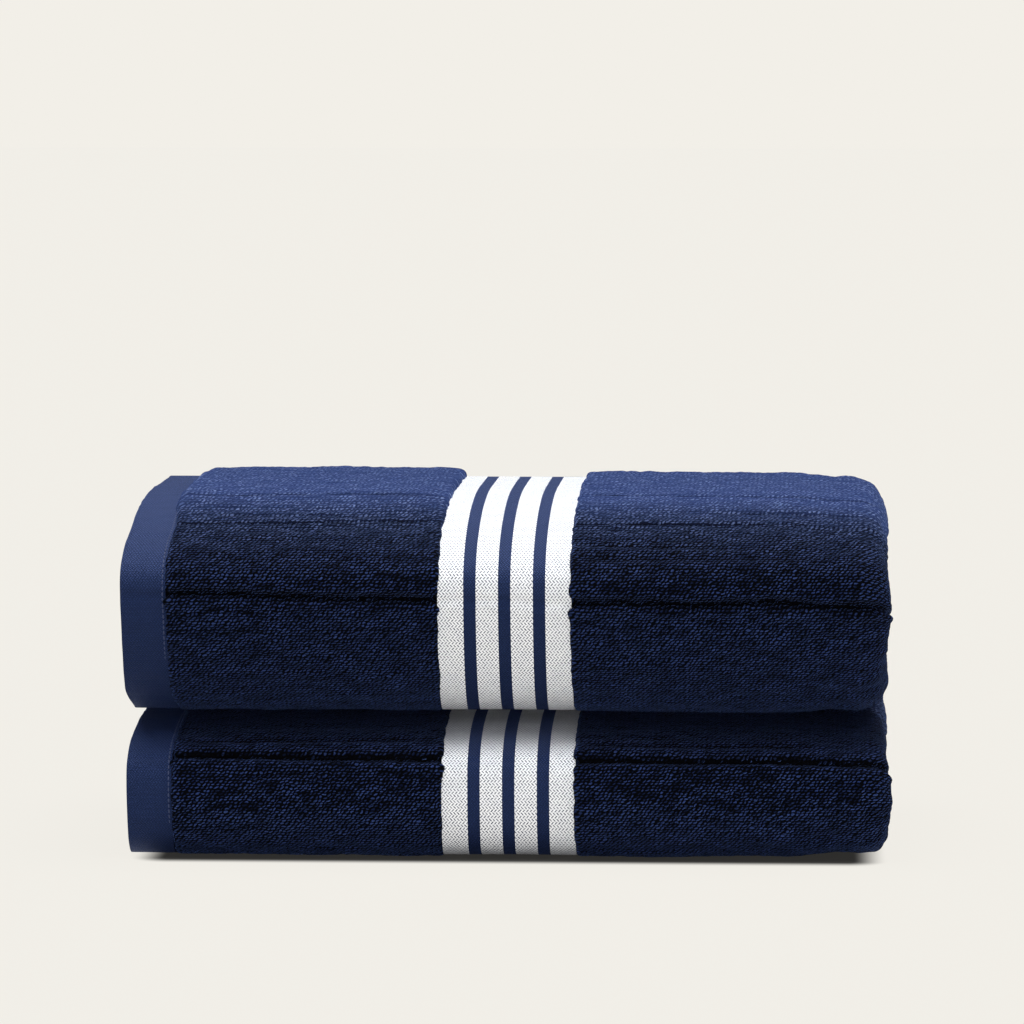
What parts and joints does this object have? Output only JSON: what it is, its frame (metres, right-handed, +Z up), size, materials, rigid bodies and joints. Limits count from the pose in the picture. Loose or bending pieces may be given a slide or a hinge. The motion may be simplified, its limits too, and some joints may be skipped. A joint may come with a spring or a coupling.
{
  "type": "bath towel set",
  "caption": "Two bath towels folded in three and stacked, in looped navy terry with a navy and white striped flat-woven border and flat hems.",
  "frame": {"origin": "under the middle of the stack, on the surface that it stands on", "axes": "+X along the folded length, from the hem ends to the folded ends; +Y from the rounded front to the back; +Z up"},
  "size_m": [0.378, 0.26, 0.1772],
  "materials": {
    "navy_terry": "looped cotton terry",
    "navy_weave": "flat-woven cotton",
    "white_weave": "flat-woven cotton",
    "navy_thread": "sewing thread",
    "label_tape": "woven satin tape"
  },
  "bodies": {
    "lower_towel": {"lower_end_hem": "navy_weave", "lower_terry_end": "navy_terry", "lower_border_white": "white_weave", "lower_border_navy": "navy_weave", "lower_terry_field": "navy_terry", "lower_far_end_hem": "navy_weave", "lower_far_terry_end": "navy_terry", "lower_far_border_white": "white_weave", "lower_far_border_navy": "navy_weave", "lower_hem_stitching": "navy_thread", "lower_side_hem": "navy_weave", "lower_side_hem_inner": "navy_weave", "lower_care_label": "label_tape"},
    "upper_towel": {"upper_end_hem": "navy_weave", "upper_terry_end": "navy_terry", "upper_border_white": "white_weave", "upper_border_navy": "navy_weave", "upper_terry_field": "navy_terry", "upper_far_end_hem": "navy_weave", "upper_far_terry_end": "navy_terry", "upper_far_border_white": "white_weave", "upper_far_border_navy": "navy_weave", "upper_hem_stitching": "navy_thread", "upper_side_hem_inner": "navy_weave"},
    "upper_flap": {"flap_end_hem": "navy_weave", "flap_terry_end": "navy_terry", "flap_border_white": "white_weave", "flap_border_navy": "navy_weave", "flap_terry_field": "navy_terry", "flap_far_end_hem": "navy_weave", "flap_far_terry_end": "navy_terry", "flap_far_border_white": "white_weave", "flap_far_border_navy": "navy_weave", "flap_hem_stitching": "navy_thread", "flap_side_hem": "navy_weave", "flap_care_label": "label_tape"}
  },
  "joints": [
    {"name": "upper_lift", "type": "slide", "parent": "lower_towel", "child": "upper_towel", "axis": [0, 0, 1], "range_m": [0, 0.25]},
    {"name": "upper_unfold", "type": "hinge", "parent": "upper_towel", "child": "upper_flap", "pos_m": [0, -0.13, 0.1374], "axis": [1, 0, 0], "range_deg": [0, 110]}
  ]
}
